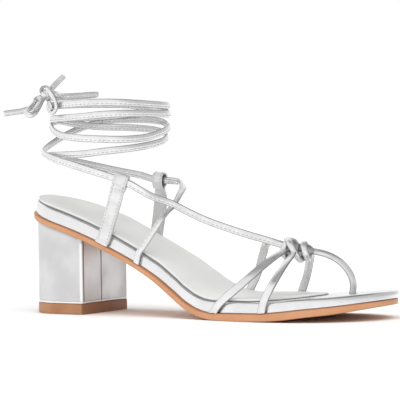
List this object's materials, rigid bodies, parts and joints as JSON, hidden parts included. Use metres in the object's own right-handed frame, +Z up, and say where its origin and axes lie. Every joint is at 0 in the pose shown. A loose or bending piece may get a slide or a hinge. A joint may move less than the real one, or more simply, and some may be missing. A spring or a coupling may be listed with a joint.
{
  "type": "heeled sandal",
  "caption": "Right-foot block-heel sandal in silver leather, with straps knotted over the vamp, side tabs and laces wound round the ankle and tied at the back.",
  "frame": {"origin": "on the heel lift's ground face, under the middle of the heel seat", "axes": "+X from heel to toe, +Y to the inner side of the right foot, +Z up"},
  "size_m": [0.2409, 0.08, 0.1448],
  "materials": {
    "silver_leather": "smooth metallic foil",
    "silver_lace": "folded metallic foil strip",
    "grey_sock": "matt lining",
    "tan_sole": "satin moulded sole",
    "brown_lift": "satin heel lift"
  },
  "bodies": {
    "root": {"outsole": "tan_sole", "heel_block": "silver_leather", "heel_lift": "brown_lift", "footbed": "silver_leather", "insole_sock": "grey_sock", "vamp_straps": "silver_lace", "ankle_tab_outer": "silver_leather", "ankle_tab_inner": "silver_leather", "instep_laces": "silver_lace", "ankle_wrap": "silver_lace", "tie_knot": "silver_lace", "tie_loop_low": "silver_lace", "tie_loop_high": "silver_lace", "tie_end_up": "silver_lace", "tie_end_back": "silver_lace"}
  },
  "joints": []
}
